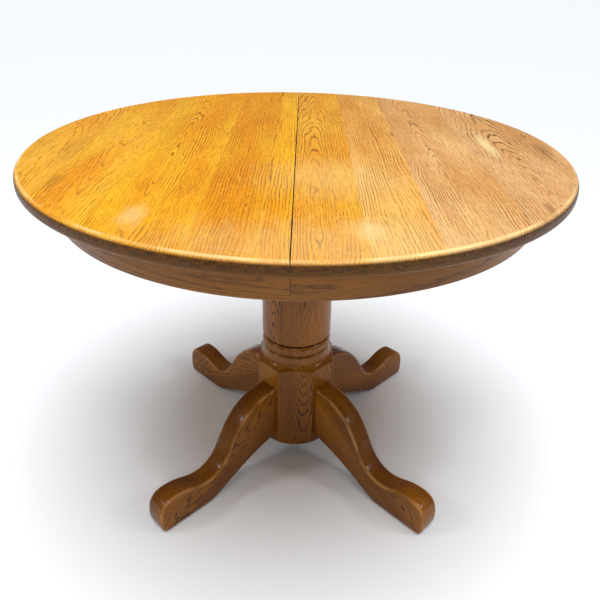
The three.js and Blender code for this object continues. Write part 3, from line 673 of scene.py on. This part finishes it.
def column_profile():
    """The column's outline as radius and height, from its foot to its head."""
    foot = column_low.z / MM
    rounded_foot = quarter(BLANK_RADIUS - FOOT_ROUND, foot + FOOT_ROUND, FOOT_ROUND, -90, 0, 14)
    plain = [(BLANK_RADIUS, z) for z in np.linspace(foot + FOOT_ROUND + 4, 236, 8)]
    # The rows lie closer where the flats run out under the shoulder.
    under_shoulder = [(BLANK_RADIUS, z) for z in np.arange(238, 249, 1.0)]
    turned = eased(SHOULDER + HOLLOW + LOWER_GROOVE + BEAD + UPPER_GROOVE + SHAFT_FOOT, 3)
    shaft = [(COLUMN_RADIUS / MM, z) for z in np.linspace(350, column_high.z / MM, 6)]
    return np.vstack([rounded_foot, plain, under_shoulder, turned, shaft]) * MM


def turned_column():
    """A turned column, planed to eight flats wherever it is thicker than they are."""
    angles = np.arange(TURNS) * 2 * math.pi / TURNS
    facets = []
    edge_on, far = 0.3, 1.0
    for i in range(8):
        apothem = LEG_APOTHEM if i % 2 else OPEN_APOTHEM
        facing = np.cos(angles - i * EIGHTH)
        facets.append(np.where(facing > edge_on, apothem / np.maximum(facing, edge_on), far))
    flats = softest(facets, FLAT_SOFTNESS)
    bore = BORE / np.cos((angles + EIGHTH / 2) % EIGHTH - EIGHTH / 2)
    rows = [(bore, column_low.z)]
    for r, z in column_profile():
        rows.append((softest([np.full(TURNS, r), flats], SHOULDER_SOFTNESS), z))
    rows.append((bore, column_high.z))
    points = [(r * math.cos(a), r * math.sin(a), z) for radii, z in rows for r, a in zip(radii, angles)]
    faces = grid_faces(len(rows), TURNS, close_rows=True, close_columns=True)
    mesh = outwards(mesh_of("turned_column", points, faces))
    smooth(mesh, 50)
    store_staves(mesh)
    mesh.materials.append(COLUMN_OAK)
    return shown("turned_column", mesh)


def store_staves(mesh):
    """Stores for each face where it lay in its own stave."""
    layer = mesh.attributes.new("plank", "FLOAT_VECTOR", "CORNER")
    for face in mesh.polygons:
        index = round(math.atan2(face.center.y, face.center.x) / EIGHTH) % 8
        pith, depth, rise = STAVES[index]
        turn = index * EIGHTH
        for loop in face.loop_indices:
            x, y, z = mesh.vertices[mesh.loops[loop].vertex_index].co
            across = y * math.cos(turn) - x * math.sin(turn)
            out = x * math.cos(turn) + y * math.sin(turn)
            up = out - COLUMN_RADIUS + depth * MM + rise * (z - STAVE_MIDDLE)
            layer.data[loop].vector = (across - pith * MM, z + STAVE_SHIFT * index, up)


column = turned_column()
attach(column, "pedestal")
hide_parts("pedestal_column")

# ------------------------------------------------------------------ legs, in millimetres
LEG_HALF = 25
LEG_REACH, LEG_TOP, LEG_UNDER, SOLE, TOE_TOP = 410, 206, 74, 4, 81
NECK, HEEL, NOSE = LEG_REACH - 196, LEG_REACH - 120, SOLE + 34
TOP_ARRIS, UNDER_ARRIS = 7, 2
FACE_GAP = 0.3
# Only the wider rounding is painted pale, and most at the middle of its turn: partly rubbing, partly a
# painted highlight.
LEAST_LIGHTENED_ROUND, EDGE_WEAR_AND_GLINT = 4, 0.4
# The plank's grain runs down towards the toe. Its pith lies above the leg and beside it.
GRAIN_TILT = math.radians(-33)
PITH_ABOVE, PITH_BESIDE, LEG_RISE = 235, 26, 0.07
LEG_SHIFT = (8, 900)  # across and along, from one leg's figure to the next one's


def leg_outline():
    """The leg's side outline from its upper root round the toe to its lower root, with the
    rounding radius of the edge at each point."""
    root = LEG_APOTHEM / MM - 12
    beziers = [
        [(root, LEG_TOP + 1), (LEG_REACH - 262, LEG_TOP), (LEG_REACH - 223, 182), (NECK, 131)],
        [(NECK, 131), (NECK + 16, 107), (NECK + 27, 66), (HEEL - 2, 64)],
        [(HEEL - 2, 64), (HEEL + 30, 64), (HEEL + 42, TOE_TOP), (HEEL + 80, TOE_TOP)],
        [(HEEL + 80, TOE_TOP), (LEG_REACH - 15, TOE_TOP), (LEG_REACH, TOE_TOP - 12), (LEG_REACH, NOSE)],
        [(LEG_REACH, NOSE), (LEG_REACH, SOLE + 12), (LEG_REACH - 5, SOLE), (LEG_REACH - 12, SOLE)],
        [(LEG_REACH - 12, SOLE), (LEG_REACH - 45, SOLE), (HEEL + 40, SOLE), (HEEL, SOLE)],
        [(HEEL, SOLE), (HEEL - 12, SOLE), (HEEL - 20, SOLE + 3), (HEEL - 43, SOLE + 14)],
        [(HEEL - 43, SOLE + 14), (root + 116, SOLE + 40), (root + 70, LEG_UNDER - 6), (root, LEG_UNDER + 4)],
    ]
    steps = (30, 18, 16, 14, 12, 10, 8, 30)
    points = np.vstack([curve(b, n) for b, n in zip(beziers, steps)] + [beziers[-1][-1]])
    nose = sum(steps[:4])
    marks = [0, nose, nose + 10, len(points)]
    rounds = np.interp(np.arange(len(points)), marks, [TOP_ARRIS, TOP_ARRIS, UNDER_ARRIS, UNDER_ARRIS])

    # The root stops flat against the column's face.
    face = LEG_APOTHEM / MM + FACE_GAP
    kept = points[:, 0] > face
    first, last = np.argmax(kept), len(points) - np.argmax(kept[::-1])
    ends = []
    for outside, inside in ((first - 1, first), (last, last - 1)):
        a, b = points[outside], points[inside]
        ends.append(a + (b - a) * (face - a[0]) / (b[0] - a[0]))
    return np.vstack([ends[0], points[first:last], ends[1]]), rounds[first - 1 : last + 1]


def scrolled_leg(name, degrees, seed):
    """A leg sawn to its outline from one plank, with its edges rounded and painted pale: partly rubbing of
    the lacquer, partly a painted highlight.
    """
    points, rounds = leg_outline()
    ahead = np.gradient(points, axis=0)
    inward = np.stack([ahead[:, 1], -ahead[:, 0]], 1)
    inward /= np.linalg.norm(inward, axis=1)[:, None]
    inward[0], inward[-1] = (0, -1), (0, 1)
    arc = np.radians(np.linspace(0, 90, 7))
    section = [(1 - math.sin(a), 1 - math.cos(a)) for a in arc]
    turn = math.radians(degrees)
    grain = np.array([math.cos(GRAIN_TILT), math.sin(GRAIN_TILT)])
    vertices, plank, edge_wear_and_glint = [], [], []
    for place, normal, radius in zip(points, inward, rounds):
        ring = [(place + normal * radius * inset, LEG_HALF - radius * drop) for inset, drop in section]
        ring = [(p, -side) for p, side in ring] + [(p, side) for p, side in reversed(ring)]
        for (r, z), side in ring:
            x = r * math.cos(turn) - side * math.sin(turn)
            y = r * math.sin(turn) + side * math.cos(turn)
            vertices.append((x * MM, y * MM, z * MM))
            along, off = r * grain[0] + z * grain[1], -r * grain[1] + z * grain[0]
            from_pith = off - PITH_ABOVE + LEG_SHIFT[0] * seed
            plank.append((from_pith, along + LEG_SHIFT[1] * seed, side + PITH_BESIDE + LEG_RISE * along))
        # Painted highlight and rubbing along the wider rounding.
        edge_lightening = EDGE_WEAR_AND_GLINT * max(0, radius - LEAST_LIGHTENED_ROUND) / (TOP_ARRIS - LEAST_LIGHTENED_ROUND)
        turn_lightening = [edge_lightening * math.sin(2 * a) for a in arc]
        edge_wear_and_glint.extend(turn_lightening + turn_lightening[::-1])
    across = 2 * len(section)
    last = len(vertices) - across
    faces = grid_faces(len(points), across)
    faces.append([i * across for i in range(len(points))])
    faces.append([i * across + across - 1 for i in reversed(range(len(points)))])
    faces.append(list(reversed(range(across))) + [last + j for j in range(across)])
    mesh = mesh_of(name, vertices, faces, 35)
    store_plank(mesh, np.array(plank) * MM)
    mesh.attributes.new("edge_wear_and_glint", "FLOAT", "POINT").data.foreach_set("value", edge_wear_and_glint)
    outwards(mesh, merge=False)
    mesh.materials.append(LEG_OAK)
    return shown(name, mesh)


def felt_glide(name, degrees):
    """A felt disc with a slightly rounded lower edge, under a toe."""
    arris, steps = 0.8 * MM, 64
    lower_edge = quarter(GLIDE_RADIUS - arris, arris, arris, -90, 0, 4)
    profile = [(0, 0), *lower_edge, (GLIDE_RADIUS, glide_high.z), (0, glide_high.z)]
    turn = math.radians(degrees)
    middle_x, middle_y = GLIDE_REACH * math.cos(turn), GLIDE_REACH * math.sin(turn)
    spin = [2 * math.pi * j / steps for j in range(steps)]
    points = [(r * math.cos(a) + middle_x, r * math.sin(a) + middle_y, z) for r, z in profile for a in spin]
    faces = grid_faces(len(profile), steps, close_columns=True)
    mesh = outwards(mesh_of(name, points, faces))
    mesh.materials.append(FELT)
    return shown(name, mesh)


for seed, (name, degrees) in enumerate(LEGS):
    leg = scrolled_leg(f"{name}_scrolled_leg", degrees, seed)
    glide = felt_glide(f"{name}_felt_glide", degrees)
    for piece, node, slot in ((leg, f"{name}_leg", "oak_base"), (glide, f"{name}_glide", "felt")):
        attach(piece, "pedestal")
        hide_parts(node)

# ------------------------------------------------------------------ works under the top
FINISHES = (
    (("centre_rail", "slide_rail", "alignment_pin"), RAIL_BEECH),
    (("yoke",), YOKE_BEECH),
    (("corner_block",), BLOCK_BEECH),
    (("bolt", "bolt_lower", "bolt_upper"), ZINC_STEEL),
    (("pinion_pin", "lock_base", "lock_keeper", "lock_lever"), ZINC_STEEL),
    (("rack", "pinion"), NYLON),
)
for node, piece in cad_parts.items():
    for endings, finish in FINISHES:
        if node.endswith(endings):
            piece.data.materials.clear()
            piece.data.materials.append(finish)


# ------------------------------------------------------------------ screws
def screw_tree():
    """A row of slotted screw heads along X, standing down from Z = 0."""
    sizes = {"Head_Radius": "Float", "Head_Height": "Float", "Slot_Width": "Float"}
    tree, given = new_tree("screw row", Count="Int", Spacing="Float", **sizes)
    radius, height = given["Head Radius"], given["Head Height"]
    head = add(tree, "GeometryNodeMeshCylinder", {"Vertices": 20, "Radius": radius, "Depth": height})
    # The slot runs right across, is cut almost half deep, and stands askew.
    slot_length = add(tree, MATH, radius, 2.4, **TIMES)
    slot_size = add(tree, JOIN, slot_length, given["Slot Width"], height)
    slot = add(tree, "GeometryNodeMeshCube", {"Size": slot_size})
    down = add(tree, JOIN, 0.0, 0.0, add(tree, MATH, height, -0.55, **TIMES))
    placing = {"Geometry": slot, "Translation": down, "Rotation": (0, 0, 0.6)}
    cutter = add(tree, "GeometryNodeTransform", placing)
    bodies = {"Mesh 1": head, "Mesh 2": cutter}
    slotted = add(tree, "GeometryNodeMeshBoolean", bodies, operation="DIFFERENCE", solver="EXACT")
    step = add(tree, JOIN, given["Spacing"])
    row = add(tree, "GeometryNodeMeshLine", {"Count": given["Count"], "Offset": step})
    placed = add(tree, "GeometryNodeInstanceOnPoints", {"Points": row, "Instance": slotted})
    return end_tree(tree, placed, ZINC_STEEL)


SCREW_ROW = screw_tree()
HEAD_HEIGHT = 1.6 * MM
HEAD_SUNK = 0.2 * MM


def screw_rows(name, body, rows, head_radius):
    """Rows of screws on one body, as one piece. Each row: count, spacing, first screw's place."""
    parts = []
    for count, spacing, first in rows:
        part = grown(
            name,
            SCREW_ROW,
            Count=count,
            Spacing=spacing,
            Head_Radius=head_radius,
            Head_Height=HEAD_HEIGHT,
            Slot_Width=1.1 * MM,
        )
        middle = Vector(first) - Vector((0, 0, HEAD_HEIGHT / 2 - HEAD_SUNK))
        part.data.transform(Matrix.Translation(middle))
        parts.append(part)
    piece = joined(parts)
    piece.name = name
    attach(piece, body)


RAIL_MARGIN, BLOCK_MARGIN, PLATE_MARGIN = 40 * MM, 9 * MM, 6 * MM
BLOCK_SPACING, PLATE_THICK, RAIL_OFFSET = 22 * MM, 3 * MM, 3 * MM
for name, side in SIDES:
    rail_rows, block_rows, plate_rows = [], [], []
    for end in ENDS:
        # The screws keep to the side of the rail that faces away from the centre rail.
        low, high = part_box(f"{name}_{end}_slide_rail")
        middle = (low.y + high.y) / 2
        fixed_low, fixed_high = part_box(f"{end}_centre_rail")
        solid_y = middle + math.copysign(RAIL_OFFSET, middle - (fixed_low.y + fixed_high.y) / 2)
        spacing = (high.x - low.x - 2 * RAIL_MARGIN) / 3
        rail_rows.append((4, spacing, (low.x + RAIL_MARGIN, solid_y, low.z)))
        low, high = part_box(f"{name}_{end}_corner_block")
        block_rows.append((2, BLOCK_SPACING, (low.x + BLOCK_MARGIN, (low.y + high.y) / 2, low.z)))
        low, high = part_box(f"{end}_lock_base" if side < 0 else f"{end}_lock_keeper")
        spacing = high.x - low.x - 2 * PLATE_MARGIN
        for y in (low.y + PLATE_MARGIN, high.y - PLATE_MARGIN):
            plate_rows.append((2, spacing, (low.x + PLATE_MARGIN, y, high.z - PLATE_THICK)))
    screw_rows(f"{name}_slide_screws", f"{name}_half", rail_rows, 4.5 * MM)
    screw_rows(f"{name}_block_screws", f"{name}_half", block_rows, 4.0 * MM)
    screw_rows(f"{name}_lock_screws", f"{name}_half", plate_rows, 3.2 * MM)


# ------------------------------------------------------------------ camera, floor and light
EYE = (0, -1.22483, 1.11065)
PITCH, ROLL, YAW = 0.44267, 0.02754, -0.02553
ROUND_TABLE = math.radians(0.3)  # how far the camera stands round from the front
FOCAL_LENGTH, SENSOR = 37.0794, 36
SHIFT_ACROSS, SHIFT_UP = -0.02035, -0.086967
BACKDROP_GLOW = 1.1
ROOM_GLOW = 0.17
CEILING_GLOW, CEILING_SPREAD, CEILING_TILT = 2.95, 46, (7, 2)
FLOOR_SIDE, FLOOR_BACK = 30, 60
LAMPS = (
    ("left_lamp", (-2.3, -0.7, 1.85), 11),
    ("right_lamp", (2.3, -0.7, 1.85), 10),
    ("front_lamp", (-0.2, -2.6, 2.0), 7),
)
LAMP_WIDTH = 0.5
LAMPS_AIM = Vector((0, 0, 0.3))


def stand_camera():
    look = Matrix.Rotation(YAW + ROUND_TABLE, 3, "Z")
    right = look @ Vector((1, 0, 0))
    ahead = look @ Vector((0, math.cos(PITCH), -math.sin(PITCH)))
    up = look @ Vector((0, math.sin(PITCH), math.cos(PITCH)))
    rolled_right = math.cos(ROLL) * right + math.sin(ROLL) * up
    rolled_up = -math.sin(ROLL) * right + math.cos(ROLL) * up
    lens = bpy.data.cameras.new("camera")
    lens.sensor_width, lens.lens = SENSOR, FOCAL_LENGTH
    lens.shift_x, lens.shift_y = SHIFT_ACROSS, SHIFT_UP
    camera = shown("camera", lens)
    axes = Matrix((rolled_right, rolled_up, -ahead)).transposed()
    eye = Matrix.Rotation(ROUND_TABLE, 3, "Z") @ Vector(EYE)
    camera.matrix_world = Matrix.Translation(eye) @ axes.to_4x4()
    bpy.context.scene.camera = camera


def lay_floor():
    """A wide, pale, matt floor."""
    front, back = -FLOOR_SIDE, FLOOR_BACK
    corners = [(-FLOOR_SIDE, front, 0), (FLOOR_SIDE, front, 0), (FLOOR_SIDE, back, 0), (-FLOOR_SIDE, back, 0)]
    floor = shown("floor", mesh_of("floor", corners, [(0, 1, 2, 3)]))
    pale = new_material("pale_floor")
    paint = {"Base Color": "#f1f4f8", "Roughness": 0.8}
    shader = add(pale.node_tree, "ShaderNodeBsdfPrincipled", paint)
    add(pale.node_tree, "ShaderNodeOutputMaterial", {"Surface": shader}, out=None)
    floor.data.materials.append(pale)


def light_room():
    """A white backdrop that lights the table only a little, one broad ceiling light and three lamps."""
    world = bpy.data.worlds.new("studio")
    world.use_nodes = True
    tree = world.node_tree
    tree.nodes.clear()
    seen = add(tree, "ShaderNodeLightPath", out="Is Camera Ray")
    glow = add(tree, RANGE, seen, 0.0, 1.0, ROOM_GLOW, BACKDROP_GLOW)
    sky = add(tree, "ShaderNodeBackground", {"Color": "#ffffff", "Strength": glow})
    add(tree, "ShaderNodeOutputWorld", {"Surface": sky}, out=None)
    bpy.context.scene.world = world

    sun = bpy.data.lights.new("ceiling", "SUN")
    sun.energy, sun.angle = CEILING_GLOW, math.radians(CEILING_SPREAD)
    shown("ceiling", sun).rotation_euler = [math.radians(a) for a in (*CEILING_TILT, 0)]
    for name, place, watts in LAMPS:
        disk = bpy.data.lights.new(name, "AREA")
        disk.shape, disk.size, disk.energy = "DISK", LAMP_WIDTH, watts
        lamp = shown(name, disk)
        lamp.location = place
        lamp.rotation_euler = (LAMPS_AIM - Vector(place)).to_track_quat("-Z", "Y").to_euler()


stand_camera()
lay_floor()
light_room()
bpy.context.scene.view_settings.view_transform = "Standard"
